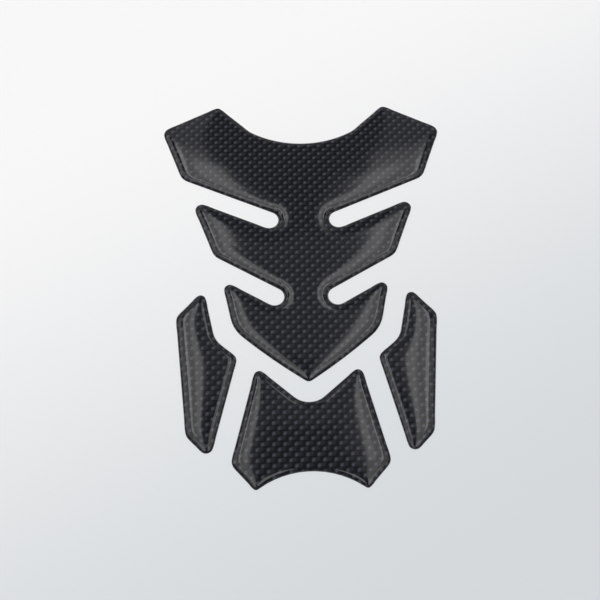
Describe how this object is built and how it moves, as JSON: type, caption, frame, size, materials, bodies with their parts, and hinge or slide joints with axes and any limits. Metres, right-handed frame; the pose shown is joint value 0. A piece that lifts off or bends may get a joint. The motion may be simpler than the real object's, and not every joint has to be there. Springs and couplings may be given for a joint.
{
  "type": "motorcycle tank pad",
  "caption": "Stick-on tank protector of glossy domed resin over carbon-look vinyl: a winged main segment with side and tail segments around it.",
  "frame": {"origin": "middle of the pad's outline, on the adhesive back", "axes": "+Z out of the glossy face, +Y to the notched end that points to the front of the tank, +X to the right"},
  "size_m": [0.1396, 0.1996, 0.0027],
  "materials": {
    "carbon_film": "dark printed vinyl with a plain carbon weave",
    "resin_dome": "clear high-gloss polyurethane over the dark weave"
  },
  "bodies": {
    "root": {"main_film": "carbon_film", "main_dome": "resin_dome", "left_side_film": "carbon_film", "left_side_dome": "resin_dome", "right_side_film": "carbon_film", "right_side_dome": "resin_dome", "tail_film": "carbon_film", "tail_dome": "resin_dome"}
  },
  "joints": []
}
